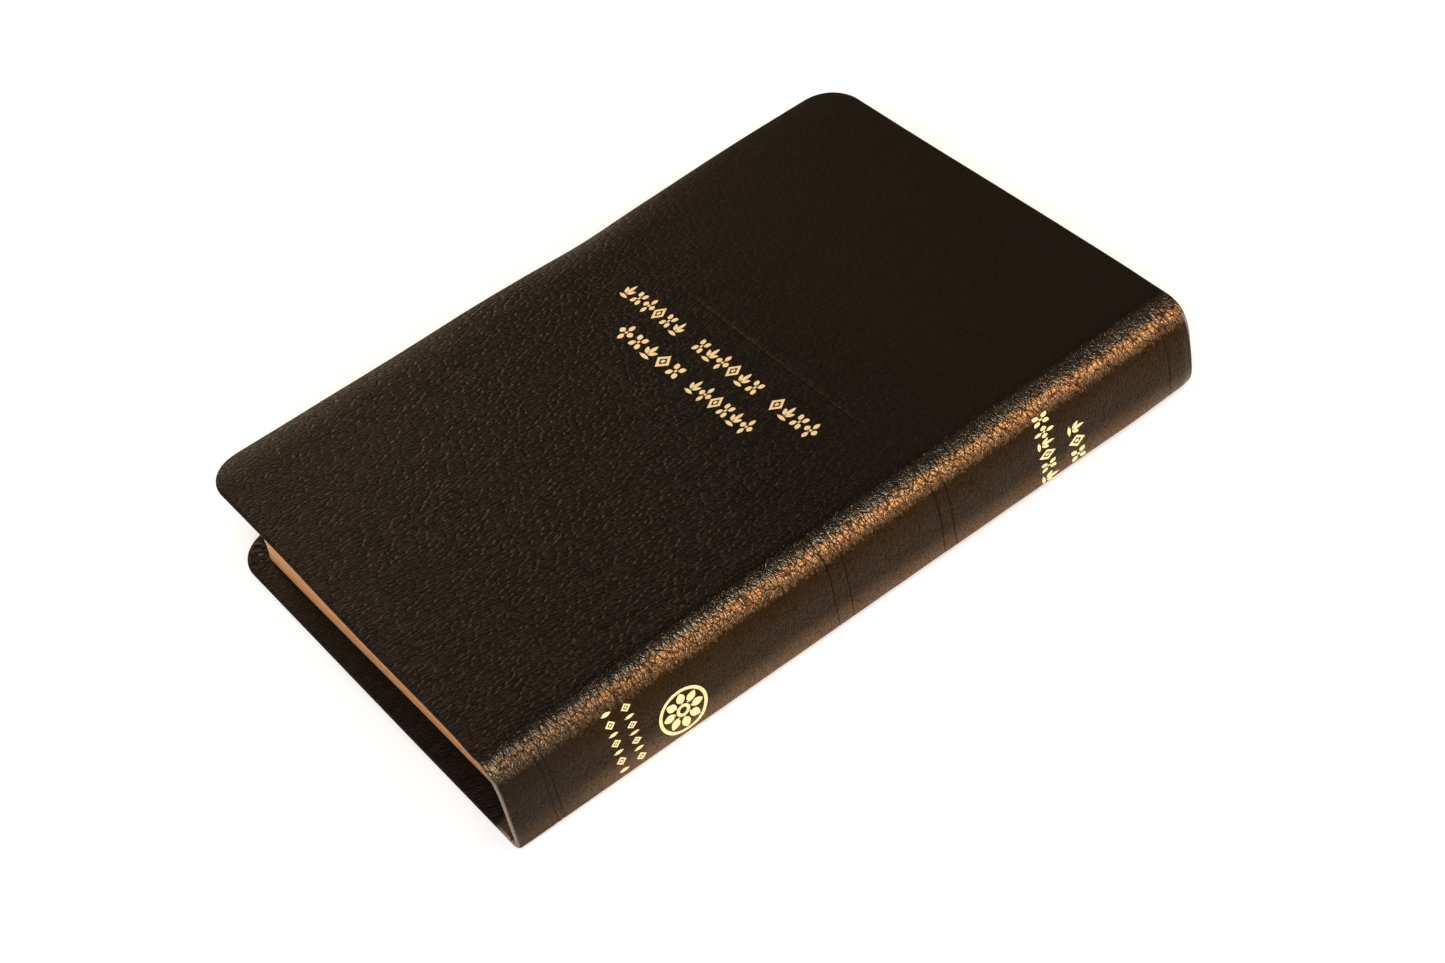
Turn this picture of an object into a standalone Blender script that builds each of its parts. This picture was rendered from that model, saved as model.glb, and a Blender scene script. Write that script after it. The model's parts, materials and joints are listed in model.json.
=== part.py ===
"""A limp leather prayer book, closed and lying on its back cover, in metres.

The row frame: +X from the fore edge to the spine, +Y from the tail to the head, +Z up.
The origin is under the middle of the book, on the surface that it lies on.
The leather skin goes round the whole book. It is cut here at its two joints, because the
covers turn there. The text block is sewn in sections and opens at its middle.
"""

import math

import bmesh
import bpy

# Driving dimensions
BOOK_HEIGHT = 0.210  # tail to head, over the covers
BOOK_WIDTH = 0.140  # fore edge to spine, over the front cover
BOOK_THICKNESS = 0.028
BACK_COVER_WIDTH = 0.137  # the limp back cover lies a little further in at the fore edge
COVER_OVERHANG = 0.006  # how far the covers stand past the text block at tail and head
COVER_CORNER_RADIUS = 0.011
PAGE_WIDTH = 0.1246
PAGE_CORNER_RADIUS = 0.005
GAP = 0.00025  # between pieces that lie on one another

# Layers of a cover, from the outside in
LEATHER = 0.0010
COVER_CARD = 0.00045
LINING = 0.0003
FOLD_RIM = 0.003  # width of the folded leather edge round the card
TURN_IN = 0.007  # how far the leather is turned in, over the edge of the card
COVER_THICKNESS = LEATHER + COVER_CARD + LINING + 2 * GAP
FLYLEAF = 0.00025

# The spine's outline: a wide upper shoulder and a tighter lower corner, where the book leans
SPINE_X = BOOK_WIDTH / 2
SHOULDER_REACH = 0.0085
SHOULDER_BASE = BOOK_THICKNESS / 2
SHOULDER_POWER = 2.6
CORNER_REACH = 0.0055
CORNER_TOP = 0.008
ARC_STEPS = 12

# Joints
FRONT_JOINT = 0.0095  # from the spine's outer face to the front cover's fold
FRONT_JOINT_LIFT = 0.00015  # the fold's axis over the cover's outer face
BACK_JOINT = 0.0015  # the spine's lower corner, over which the block rolls up
BACK_JOINT_LIFT = 0.0006
BACK_TONGUE_END = 0.0056  # where the flat leather of the back cover stops
FLYLEAF_JOINT = 0.0100  # the front flyleaf is tipped on here, just inside the cover's fold
JOINT_GAP = 0.00015
OPENING_Z = BOOK_THICKNESS / 2

# Layers of the spine, as distances in from its outer face
SPINE_CARD = (0.00125, 0.00160)
HOLLOW_OUTER = (0.00185, 0.00210)
HOLLOW_INNER = (0.00240, 0.00265)
MULL = (0.00290, 0.00315)
THREAD = (0.00340, 0.00365)
BLOCK_SPINE = 0.0039
ENDBAND = (0.0043, 0.0057)
ENDBAND_LENGTH = 0.0016
SPINE_LINING_LOW = 0.005
SPINE_LINING_HIGH = 0.023
HOLLOW_MARGIN = 0.001

# The text block
SECTIONS_PER_HALF = 6
CENTRE_LEAVES = 3
CENTRE_LEAF = 0.0003
CENTRE_LEAF_PITCH = 0.00075
SEWING_STATIONS = 5
STITCH_WIDTH = 0.0004
STITCH_STEPS = 9  # an odd number, so that the run lies in the middle

# Colours, linear
LEATHER_COLOUR = (0.018, 0.013, 0.010)
CARD_COLOUR = (0.30, 0.24, 0.17)
LINING_COLOUR = (0.025, 0.020, 0.017)
PAPER_COLOUR = (0.80, 0.76, 0.66)
GILT_COLOUR = (0.66, 0.38, 0.17)
KRAFT_COLOUR = (0.38, 0.25, 0.14)
CLOTH_COLOUR = (0.70, 0.68, 0.62)
BAND_COLOUR = (0.55, 0.08, 0.06)
THREAD_COLOUR = (0.85, 0.82, 0.74)


def clear_scene():
    for obj in list(bpy.data.objects):
        bpy.data.objects.remove(obj)


def material(name, colour, roughness, metallic=0.0):
    made = bpy.data.materials.new(name)
    made.use_nodes = True
    shader = made.node_tree.nodes["Principled BSDF"]
    shader.inputs["Base Color"].default_value = (*colour, 1.0)
    shader.inputs["Roughness"].default_value = roughness
    shader.inputs["Metallic"].default_value = metallic
    return made


def joint_empty(name, x, z, parent=None):
    """An empty on a joint's axis, which runs along Y."""
    empty = bpy.data.objects.new(name, None)
    empty.empty_display_size = 0.01
    bpy.context.scene.collection.objects.link(empty)
    empty.location = (x, 0.0, z)
    bpy.context.view_layer.update()
    if parent is not None:
        empty.parent = parent
        empty.matrix_parent_inverse = parent.matrix_world.inverted()
        bpy.context.view_layer.update()
    return empty


def add_object(name, mesh, look, parent=None):
    obj = bpy.data.objects.new(name, mesh)
    bpy.context.scene.collection.objects.link(obj)
    mesh.materials.append(look)
    if parent is not None:
        obj.parent = parent
        obj.matrix_parent_inverse = parent.matrix_world.inverted()
    return obj


def finish_mesh(name, work):
    bmesh.ops.recalc_face_normals(work, faces=work.faces)
    mesh = bpy.data.meshes.new(name)
    work.to_mesh(mesh)
    work.free()
    return mesh


def prism(work, low_loop, high_loop):
    """A closed body between two loops with the same number of points."""
    low = [work.verts.new(p) for p in low_loop]
    high = [work.verts.new(p) for p in high_loop]
    count = len(low)
    work.faces.new(low)
    work.faces.new(list(reversed(high)))
    for i in range(count):
        j = (i + 1) % count
        work.faces.new((low[i], high[i], high[j], low[j]))


def rounded_outline(x_fore, x_spine, y_tail, y_head, radius, steps=7):
    """A rectangle in plan whose two fore-edge corners are round."""
    points = [(x_spine, y_tail), (x_spine, y_head)]
    for centre_y, start in ((y_head - radius, 90.0), (y_tail + radius, 180.0)):
        for i in range(steps + 1):
            angle = math.radians(start + 90.0 * i / steps)
            points.append((
                x_fore + radius + radius * math.cos(angle),
                centre_y + radius * math.sin(angle),
            ))
    return points


def slab_mesh(name, outline, z_low, z_high):
    work = bmesh.new()
    prism(work, [(x, y, z_low) for x, y in outline], [(x, y, z_high) for x, y in outline])
    return finish_mesh(name, work)


def outer_x(z):
    """The spine's outer face at height z."""
    if z >= SHOULDER_BASE:
        share = min(1.0, (z - SHOULDER_BASE) / (BOOK_THICKNESS - SHOULDER_BASE))
        inside = 1.0 - share**SHOULDER_POWER
        return SPINE_X - SHOULDER_REACH * (1.0 - inside ** (1.0 / SHOULDER_POWER))
    if z <= CORNER_TOP:
        share = (CORNER_TOP - z) / CORNER_TOP
        return SPINE_X - CORNER_REACH * (1.0 - math.sqrt(max(0.0, 1.0 - share * share)))
    return SPINE_X


def spine_skin_outline():
    """The leather's outer line round the spine, from the front joint to the back joint."""
    points = [(SPINE_X - FRONT_JOINT + JOINT_GAP, BOOK_THICKNESS)]
    rise = BOOK_THICKNESS - SHOULDER_BASE
    for i in range(ARC_STEPS + 1):
        angle = math.radians(90.0 * i / ARC_STEPS)
        across = 1.0 - math.sin(angle) ** (2.0 / SHOULDER_POWER)
        height = math.cos(angle) ** (2.0 / SHOULDER_POWER)
        points.append((SPINE_X - SHOULDER_REACH * across, SHOULDER_BASE + rise * height))
    skin_end = BACK_TONGUE_END - 2 * JOINT_GAP
    last = math.acos(1.0 - skin_end / CORNER_REACH)
    for i in range(ARC_STEPS + 1):
        angle = last * i / ARC_STEPS
        across = 1.0 - math.cos(angle)
        points.append((SPINE_X - CORNER_REACH * across, CORNER_TOP * (1.0 - math.sin(angle))))
    return points


def inset_line(points, depth):
    """The points moved by depth to the right of the line's direction, square to it."""
    moved = []
    for i, (x, z) in enumerate(points):
        x0, z0 = points[max(i - 1, 0)]
        x1, z1 = points[min(i + 1, len(points) - 1)]
        length = math.hypot(x1 - x0, z1 - z0)
        moved.append((x + depth * (z1 - z0) / length, z - depth * (x1 - x0) / length))
    return moved


def lining_line(depth, z_low, z_high, steps=14):
    """A line inside the spine, at the given distance in from its outer face."""
    heights = [z_low + (z_high - z_low) * i / steps for i in range(steps + 1)]
    return [(outer_x(z) - depth, z) for z in heights]


def strip_mesh(name, outlines, y_low, y_high):
    """Closed bodies with the given outlines in the XZ plane, run along Y."""
    work = bmesh.new()
    for outline in outlines:
        prism(work, [(x, y_low, z) for x, z in outline], [(x, y_high, z) for x, z in outline])
    return finish_mesh(name, work)


def spine_strip(name, depths, z_low, z_high, y_low, y_high):
    near, far = depths
    outline = lining_line(near, z_low, z_high) + lining_line(far, z_low, z_high)[::-1]
    return strip_mesh(name, [outline], y_low, y_high)


def hollow_tube_mesh(name, z_low, z_high, y_low, y_high):
    """The flattened paper tube, open at head and tail, between the block and the skin."""
    outer = lining_line(HOLLOW_OUTER[0], z_low, z_high)
    outer += lining_line(HOLLOW_INNER[1], z_low, z_high)[::-1]
    wall = HOLLOW_OUTER[1] - HOLLOW_OUTER[0]
    inner = lining_line(HOLLOW_OUTER[1], z_low + wall, z_high - wall)
    inner += lining_line(HOLLOW_INNER[0], z_low + wall, z_high - wall)[::-1]
    work = bmesh.new()
    loops = {}
    for side, y in (("low", y_low), ("high", y_high)):
        loops["outer", side] = [work.verts.new((x, y, z)) for x, z in outer]
        loops["inner", side] = [work.verts.new((x, y, z)) for x, z in inner]
    pairs = (
        (loops["outer", "low"], loops["outer", "high"]),
        (loops["inner", "high"], loops["inner", "low"]),
        (loops["inner", "low"], loops["outer", "low"]),
        (loops["outer", "high"], loops["inner", "high"]),
    )
    for first, second in pairs:
        for i in range(len(first)):
            j = (i + 1) % len(first)
            work.faces.new((first[i], second[i], second[j], first[j]))
    return finish_mesh(name, work)


def make_cover(side, width, spine_end, parent, looks):
    """A cover: turned-in leather, a thin flexible card and the lining that holds it in."""
    upward = side == "back"
    x_fore = SPINE_X - width
    x_spine = SPINE_X - spine_end
    y_end = BOOK_HEIGHT / 2

    def level(depth):
        return depth if upward else BOOK_THICKNESS - depth

    def layer(name, rim, x_end, near, far, look):
        radius = COVER_CORNER_RADIUS - rim
        outline = rounded_outline(x_fore + rim, x_end, rim - y_end, y_end - rim, radius)
        low, high = sorted((level(near), level(far)))
        return add_object(name, slab_mesh(name, outline, low, high), look, parent)

    card_near = LEATHER + GAP
    card_far = card_near + COVER_CARD
    lining_near = card_far + GAP
    past_end = x_spine + FOLD_RIM
    past_face = 2 * COVER_THICKNESS
    leather = layer(f"{side}_cover_leather", 0.0, x_spine, 0.0, COVER_THICKNESS, looks["leather"])
    hollows = (
        ("pocket", FOLD_RIM, LEATHER, lining_near),
        ("window", TURN_IN, card_near, past_face),
    )
    for what, rim, near, far in hollows:
        cutter = layer(f"{side}_cover_{what}", rim, past_end, near, far, looks["leather"])
        cutter.hide_render = True
        cutter.display_type = "WIRE"
        cut = leather.modifiers.new(what, "BOOLEAN")
        cut.operation = "DIFFERENCE"
        cut.object = cutter
    end = x_spine - FOLD_RIM
    layer(f"{side}_cover_card", FOLD_RIM + GAP, end, card_near, card_far, looks["card"])
    layer(
        f"{side}_cover_lining", TURN_IN + GAP, end, lining_near, COVER_THICKNESS, looks["lining"]
    )


def make_leaf(name, z_low, z_high, look, parent, x_end=SPINE_X):
    """A section, a leaf or a flyleaf: flat sheets whose spine edge follows the round spine."""
    x_spine = min(outer_x(z_low), outer_x(z_high)) - BLOCK_SPINE
    y_end = BOOK_HEIGHT / 2 - COVER_OVERHANG
    x_fore = x_spine - PAGE_WIDTH
    outline = rounded_outline(x_fore, min(x_spine, x_end), -y_end, y_end, PAGE_CORNER_RADIUS)
    return add_object(name, slab_mesh(name, outline, z_low, z_high), look, parent)


def make_sections(numbers, z_low, z_high, look, parent):
    pitch = (z_high - z_low + GAP) / len(numbers)
    for place, number in enumerate(numbers):
        low = z_low + place * pitch
        make_leaf(f"section_{number:02d}", low, low + pitch - GAP, look, parent)


def make_sewing(name, z_low, z_high, look, parent):
    """The linen thread: a stitch at each station links the sections, and one run joins them."""
    y_end = BOOK_HEIGHT / 2 - COVER_OVERHANG
    edges = []
    for i in range(SEWING_STATIONS):
        y = -y_end + 2 * y_end * (i + 0.5) / SEWING_STATIONS
        edges += [y - STITCH_WIDTH / 2, y + STITCH_WIDTH / 2]
    heights = [z for _, z in lining_line(0.0, z_low, z_high, STITCH_STEPS)]
    run = STITCH_STEPS // 2

    def filled(column, row):
        inside = 0 <= column < len(edges) - 1 and 0 <= row < STITCH_STEPS
        return inside and (column % 2 == 0 or row == run)

    work = bmesh.new()
    corners = {}

    def corner(column, row, depth):
        key = (column, row, depth)
        if key not in corners:
            z = heights[row]
            corners[key] = work.verts.new((outer_x(z) - depth, edges[column], z))
        return corners[key]

    near, far = THREAD
    for column in range(len(edges) - 1):
        for row in range(STITCH_STEPS):
            if not filled(column, row):
                continue
            ring = [(column, row), (column + 1, row), (column + 1, row + 1), (column, row + 1)]
            work.faces.new([corner(c, r, near) for c, r in ring])
            work.faces.new([corner(c, r, far) for c, r in reversed(ring)])
            beyond = ((column, row - 1), (column + 1, row), (column, row + 1), (column - 1, row))
            for k, cell in enumerate(beyond):
                if not filled(*cell):
                    (c0, r0), (c1, r1) = ring[k], ring[(k + 1) % 4]
                    side = [(c0, r0, near), (c0, r0, far), (c1, r1, far), (c1, r1, near)]
                    work.faces.new([corner(*place) for place in side])
    return add_object(name, finish_mesh(name, work), look, parent)


def make_spine(looks, parent):
    """The leather round the spine and what lies under it. All of it flexes as the book opens."""
    y_cover = BOOK_HEIGHT / 2
    y_block = y_cover - COVER_OVERHANG
    skin = spine_skin_outline()
    outline = skin + inset_line(skin, LEATHER)[::-1]
    name = "spine_leather"
    add_object(name, strip_mesh(name, [outline], -y_cover, y_cover), looks["leather"], parent)
    low, high = SPINE_LINING_LOW, SPINE_LINING_HIGH
    name = "spine_card"
    y_card = y_cover - FOLD_RIM
    card = spine_strip(name, SPINE_CARD, low, high, -y_card, y_card)
    add_object(name, card, looks["card"], parent)
    name = "hollow_tube"
    tube = hollow_tube_mesh(name, low + HOLLOW_MARGIN, high - HOLLOW_MARGIN, -y_block, y_block)
    add_object(name, tube, looks["kraft"], parent)
    name = "spine_mull"
    mull = spine_strip(name, MULL, low, high, -y_block, y_block)
    add_object(name, mull, looks["cloth"], parent)
    near = y_block + GAP
    far = near + ENDBAND_LENGTH
    for name, y_low, y_high in (("head_band", near, far), ("tail_band", -far, -near)):
        band = spine_strip(name, ENDBAND, low, high, y_low, y_high)
        add_object(name, band, looks["band"], parent)


def main():
    clear_scene()
    looks = {
        "leather": material("leather", LEATHER_COLOUR, 0.42),
        "card": material("card", CARD_COLOUR, 0.9),
        "lining": material("lining", LINING_COLOUR, 0.7),
        "paper": material("paper", PAPER_COLOUR, 0.8),
        "gilt_paper": material("gilt_paper", GILT_COLOUR, 0.35, metallic=0.6),
        "kraft": material("kraft", KRAFT_COLOUR, 0.9),
        "cloth": material("cloth", CLOTH_COLOUR, 0.95),
        "band": material("band", BAND_COLOUR, 0.6),
        "thread": material("thread", THREAD_COLOUR, 0.8),
    }

    lower = joint_empty("back_cover_hinge_axis", SPINE_X - BACK_JOINT, BACK_JOINT_LIFT)
    upper = joint_empty("book_opening_axis", SPINE_X, OPENING_Z, lower)
    front_z = BOOK_THICKNESS + FRONT_JOINT_LIFT
    front = joint_empty("front_cover_hinge_axis", SPINE_X - FRONT_JOINT, front_z, upper)

    make_cover("back", BACK_COVER_WIDTH, BACK_TONGUE_END, None, looks)
    make_cover("front", BOOK_WIDTH, FRONT_JOINT + JOINT_GAP, front, looks)
    make_spine(looks, lower)

    flyleaf_low = COVER_THICKNESS + GAP
    block_low = flyleaf_low + FLYLEAF + GAP
    block_high = BOOK_THICKNESS - block_low
    make_leaf("back_flyleaf", flyleaf_low, flyleaf_low + FLYLEAF, looks["paper"], lower)
    fly_high = BOOK_THICKNESS - flyleaf_low
    fly_x = SPINE_X - FLYLEAF_JOINT
    turn = joint_empty("front_flyleaf_axis", fly_x, fly_high, upper)
    make_leaf("front_flyleaf", fly_high - FLYLEAF, fly_high, looks["paper"], turn, x_end=fly_x)

    half_leaves = (CENTRE_LEAVES - 1) / 2 * CENTRE_LEAF_PITCH + CENTRE_LEAF / 2
    lower_top = OPENING_Z - half_leaves - GAP
    upper_bottom = OPENING_Z + half_leaves + GAP
    lower_numbers = range(1, SECTIONS_PER_HALF + 1)
    upper_numbers = range(SECTIONS_PER_HALF + 1, 2 * SECTIONS_PER_HALF + 1)
    make_sections(lower_numbers, block_low, lower_top, looks["gilt_paper"], lower)
    make_sections(upper_numbers, upper_bottom, block_high, looks["gilt_paper"], upper)
    make_sewing("sewing_thread_lower", block_low, lower_top, looks["thread"], lower)
    make_sewing("sewing_thread_upper", upper_bottom, block_high, looks["thread"], upper)

    for i in range(CENTRE_LEAVES):
        name = f"centre_leaf_{i + 1}"
        low = OPENING_Z - half_leaves + i * CENTRE_LEAF_PITCH
        axis = joint_empty(f"{name}_axis", SPINE_X, OPENING_Z, lower)
        make_leaf(name, low, low + CENTRE_LEAF, looks["gilt_paper"], axis)


main()
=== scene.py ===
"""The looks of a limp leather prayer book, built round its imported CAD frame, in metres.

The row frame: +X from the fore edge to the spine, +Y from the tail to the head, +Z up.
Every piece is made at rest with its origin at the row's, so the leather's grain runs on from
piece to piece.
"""

import json
import math

import bmesh
import bpy
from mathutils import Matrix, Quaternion, Vector, noise


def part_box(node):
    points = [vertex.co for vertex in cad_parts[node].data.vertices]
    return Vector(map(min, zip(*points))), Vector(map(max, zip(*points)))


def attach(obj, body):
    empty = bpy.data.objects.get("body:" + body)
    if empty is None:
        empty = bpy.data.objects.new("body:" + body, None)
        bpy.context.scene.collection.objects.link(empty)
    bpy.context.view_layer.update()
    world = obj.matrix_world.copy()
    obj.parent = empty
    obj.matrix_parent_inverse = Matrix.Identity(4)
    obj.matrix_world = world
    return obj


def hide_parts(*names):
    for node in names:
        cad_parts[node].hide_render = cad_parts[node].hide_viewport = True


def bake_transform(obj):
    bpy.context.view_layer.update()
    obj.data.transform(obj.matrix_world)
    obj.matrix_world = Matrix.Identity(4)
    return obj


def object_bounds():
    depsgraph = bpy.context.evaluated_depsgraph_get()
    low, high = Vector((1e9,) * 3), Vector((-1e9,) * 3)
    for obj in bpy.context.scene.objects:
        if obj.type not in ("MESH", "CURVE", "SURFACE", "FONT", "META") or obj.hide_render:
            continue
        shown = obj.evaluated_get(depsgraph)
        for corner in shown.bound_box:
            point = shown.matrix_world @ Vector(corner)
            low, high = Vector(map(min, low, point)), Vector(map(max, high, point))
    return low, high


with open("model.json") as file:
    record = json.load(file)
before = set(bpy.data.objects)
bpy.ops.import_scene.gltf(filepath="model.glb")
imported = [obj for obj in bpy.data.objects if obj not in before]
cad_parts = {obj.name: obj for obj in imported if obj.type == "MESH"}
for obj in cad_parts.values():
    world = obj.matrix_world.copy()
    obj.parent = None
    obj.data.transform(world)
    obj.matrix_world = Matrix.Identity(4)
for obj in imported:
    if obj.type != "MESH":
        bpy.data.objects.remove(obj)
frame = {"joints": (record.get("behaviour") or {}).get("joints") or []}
cad_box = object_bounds()

# Sizes that the frame gives
THICKNESS = cad_box[1].z
SPINE_X = cad_box[1].x
Y_END = cad_box[1].y
BLOCK_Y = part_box("section_01")[1].y
BLOCK_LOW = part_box("section_01")[0].z
BLOCK_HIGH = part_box("section_12")[1].z
BLOCK_SPINE_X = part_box("section_06")[1].x
PAGE_WIDTH = BLOCK_SPINE_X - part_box("section_06")[0].x
MIDDLE = THICKNESS / 2
JOINTS = {joint["name"]: joint for joint in frame["joints"]}
FRONT_AXIS_X = JOINTS["front_cover_hinge"]["pos_m"][0]
FLYLEAF_AXIS = JOINTS["front_flyleaf_turn"]["pos_m"]

# The spine's outer line, as in the CAD
SHOULDER_REACH = 0.0085
SHOULDER_POWER = 2.6
CORNER_REACH = 0.0055
CORNER_TOP = 0.008
SPINE_BELLY = 0.0009  # the soft spine sags outwards near the table
HEAD_BULGE = 0.0008  # and bulges at the head, where it is pulled from the shelf
SPINE_LEAN = 0.00095  # the head end stands this much further out than the middle

# Covers
COVER_CORNER = 0.011
CORNER_STEPS = 28
RIM = 0.0008  # half the thickness of the folded edge
LEATHER = 0.001
GRAIN_DEPTH = 0.00013
LINED = 0.0022  # leather, card and lining together
BOARD = (0.00125, 0.00170)  # depths from the outer face
ENDPAPER = (0.0019, LINED)
FOLD_RIM = 0.003
TURN_IN = 0.007
BOARD_INSET = FOLD_RIM + 0.00025
ENDPAPER_INSET = TURN_IN + 0.00015
PLEATS = 5
PLEAT_DEPTH = 0.0011
FRONT_SEAM = 0.0560  # where the cover ends and its joint strip begins
BACK_SEAM = 0.0598
BACK_SEAM_SPINE = 0.0642
DROOP_REACH = 0.0125  # how far in from its fore edge the limp cover hangs

# Blind tooling: pressed lines across the cover's middle, and round the spine
COVER_LINES = (-0.0099, 0.0229)
SPINE_LINES = (-0.0939, -0.0922, -0.0105, -0.0060, 0.0226, 0.0261, 0.0967)
LINE_WIDTH = 0.00045
LINE_DEPTH = 0.00013

# The text block
PAGE_CORNER = 0.005
SECTIONS = 6
LEAF = 0.0002
LEAF_TURNS = (0.25, 0.50, 0.75)  # each middle leaf's share of the opening
LEAVES = len(LEAF_TURNS)
GAP = 0.00025  # between pieces that lie on one another
BLOCK_DEPTH = SPINE_X - BLOCK_SPINE_X
BLOCK_SKEW = 0.00045  # the fore edge of the block sits this much nearer the tail

# Layers inside the spine, as depths from its outer face
STIFFENER = (0.00125, 0.00160)
HOLLOW = (0.00185, 0.00265)
HOLLOW_WALL = 0.00025
CLOTH = (0.00290, 0.00315)
THREAD_DEPTH = 0.0035
ENDBAND_DEPTH = 0.0050
ENDBAND_RIBS = 25
STATIONS = 5
SHEET_STEPS = 40

# How the spine flexes as the book opens: by height, and fading out into the pages
FLEX_LOW = 0.003
FLEX_HIGH = THICKNESS - FLEX_LOW
FLEX_REACH = 0.030


# The leather's tones, linear. Pairs are the ends of its stains.
GLAZED_BLACK = (0.0032, 0.0026, 0.0019), (0.0048, 0.0040, 0.0030)
# Painted light: a lighter tone put on the head end of the covers to stand in for light there
HEAD_LIGHT_PAINTED = (0.0084, 0.0058, 0.0037)
SPINE_BROWN = (0.0185, 0.0085, 0.0016), (0.0265, 0.0125, 0.0028)
# Painted reflection: the pale brown that the floor's reflection gives the spine's low face
FLOOR_REFLECTION_BROWN = (0.145, 0.0880, 0.0490), (0.190, 0.1170, 0.0670)
CRACK_TONE = (0.0030, 0.0018, 0.0010)
TAIL_BLACK = (0.0100, 0.0080, 0.0060)
# Painted highlight: light lines that stand in for glints on the pebbles' rims
GLINT_LINE_PAINT = (0.046, 0.0385, 0.0300)
RAW_EDGE = (0.20, 0.165, 0.135)
FOLDED_EDGE = (0.020, 0.0145, 0.0100)
SHEEN = (1.0, 0.75, 0.48)
COPPER_SHEEN = (1.0, 0.56, 0.26)
GLAZE = 0.036  # specular level on the covers
SPINE_GLAZE_LOSS = -0.011
GLAZE_IOR = 2.2


# ---- mesh helpers


class Shape:
    """The points and faces of one piece, with a material number for each face."""

    def __init__(self):
        self.points = []
        self.faces = []
        self.looks = []

    def line(self, points):
        start = len(self.points)
        self.points += [tuple(point) for point in points]
        return list(range(start, len(self.points)))

    def face(self, corners, look=0):
        self.faces.append(tuple(corners))
        self.looks.append(look)

    def bridge(self, first, second, look=0, closed=False):
        """Quads between two lines with the same number of points."""
        count = len(first) if closed else len(first) - 1
        for i in range(count):
            j = (i + 1) % len(first)
            self.face((first[i], first[j], second[j], second[i]), look)

    def skin(self, rows, look=0):
        for first, second in zip(rows, rows[1:]):
            self.bridge(first, second, look)


def make_piece(name, shape, looks, sharp_angle=38.0):
    mesh = bpy.data.meshes.new(name)
    mesh.from_pydata(shape.points, [], shape.faces)
    mesh.polygons.foreach_set("material_index", shape.looks)
    work = bmesh.new()
    work.from_mesh(mesh)
    bmesh.ops.recalc_face_normals(work, faces=work.faces)
    work.to_mesh(mesh)
    work.free()
    for look in looks:
        mesh.materials.append(look)
    made_at = mesh.attributes.new("made_at", "FLOAT_VECTOR", "POINT")
    for vertex, value in zip(mesh.vertices, made_at.data):
        value.vector = vertex.co
    mesh.shade_smooth()
    mesh.set_sharp_from_angle(angle=math.radians(sharp_angle))
    obj = bpy.data.objects.new(name, mesh)
    bpy.context.scene.collection.objects.link(obj)
    return obj


def smooth(low, high, value):
    share = min(1.0, max(0.0, (value - low) / (high - low)))
    return share * share * (3 - 2 * share)


def ripple(x, y, size, seed):
    """A gentle, repeatable unevenness between -1 and 1."""
    return noise.noise(Vector((x / size, y / size, seed)))


def hump(value, centre, reach):
    return math.exp(-(((value - centre) / reach) ** 2))


def trim(x, y, z):
    """The cover is cut unevenly: short at the tail's fore corner, long at the head."""
    if z < MIDDLE:
        return -0.0001 * smooth(0.060, 0.010, x) * smooth(-0.06, -Y_END, y)
    tail = 0.0004 + 0.00060 * smooth(0.015, -0.040, x) - 0.0004 * smooth(0.050, 0.060, x)
    head = 0.0003 + 0.0007 * smooth(-0.050, 0.035, x) - 0.0002 * smooth(0.045, 0.060, x)
    ends = tail * smooth(-0.06, -Y_END, y) + head * smooth(0.06, Y_END, y)
    return ends * smooth(MIDDLE, 0.026, z)


def outer_x(z):
    """The spine's outer face at height z."""
    if z >= MIDDLE:
        share = min(1.0, (z - MIDDLE) / (THICKNESS - MIDDLE))
        inside = 1.0 - share**SHOULDER_POWER
        return SPINE_X - SHOULDER_REACH * (1.0 - inside ** (1.0 / SHOULDER_POWER))
    if z <= CORNER_TOP:
        share = (CORNER_TOP - z) / CORNER_TOP
        return SPINE_X - CORNER_REACH * (1.0 - math.sqrt(max(0.0, 1.0 - share * share)))
    return SPINE_X


def groove(y, lines):
    """1 in the middle of a pressed line, 0 away from it."""
    nearest = min(abs(y - line) for line in lines)
    return 1.0 - smooth(0.0, LINE_WIDTH, nearest)


PRESSED_ROWS = [
    round(line + step * LINE_WIDTH, 6)
    for line in COVER_LINES + SPINE_LINES for step in (-1.0, -0.5, 0.0, 0.5, 1.0)
]


def middle_rows():
    """Rows between the corners, close together at each pressed line."""
    reach = Y_END - COVER_CORNER
    pressed = [y for y in PRESSED_ROWS if abs(y) < reach - LINE_WIDTH / 2]
    count = 76
    even = [-reach + 2 * reach * i / count for i in range(1, count)]
    kept = [y for y in even if min(abs(y - p) for p in pressed) > LINE_WIDTH]
    return sorted(kept + pressed)


def corner_turns():
    """Steps round a cover's corner, closer together where a pressed line runs into it."""
    turns = {round(math.pi / 2 * i / CORNER_STEPS, 5) for i in range(CORNER_STEPS + 1)}
    radius = COVER_CORNER - RIM
    for y in PRESSED_ROWS:
        share = 1 - (Y_END - RIM - abs(y)) / radius
        if 0.0 < share < 1.0:
            turns.add(round(math.acos(share), 5))
    return sorted(turns)


MIDDLE_ROWS = middle_rows()
CORNER_TURNS = corner_turns()


def plan_rows(inset, y_end=Y_END, corner=COVER_CORNER, middle=None):
    """(y, pull, turn) from tail to head. The round corner pulls the fore edge in."""
    radius = corner - inset
    tail = []
    for turn in CORNER_TURNS:
        y = inset - y_end + radius * (1 - math.cos(turn))
        tail.append((y, radius * (1 - math.sin(turn)), turn))
    rows = [(y, 0.0, math.pi / 2) for y in (MIDDLE_ROWS if middle is None else middle)]
    return tail + rows + [(-y, pull, turn) for y, pull, turn in reversed(tail)]


# ---- covers


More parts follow.
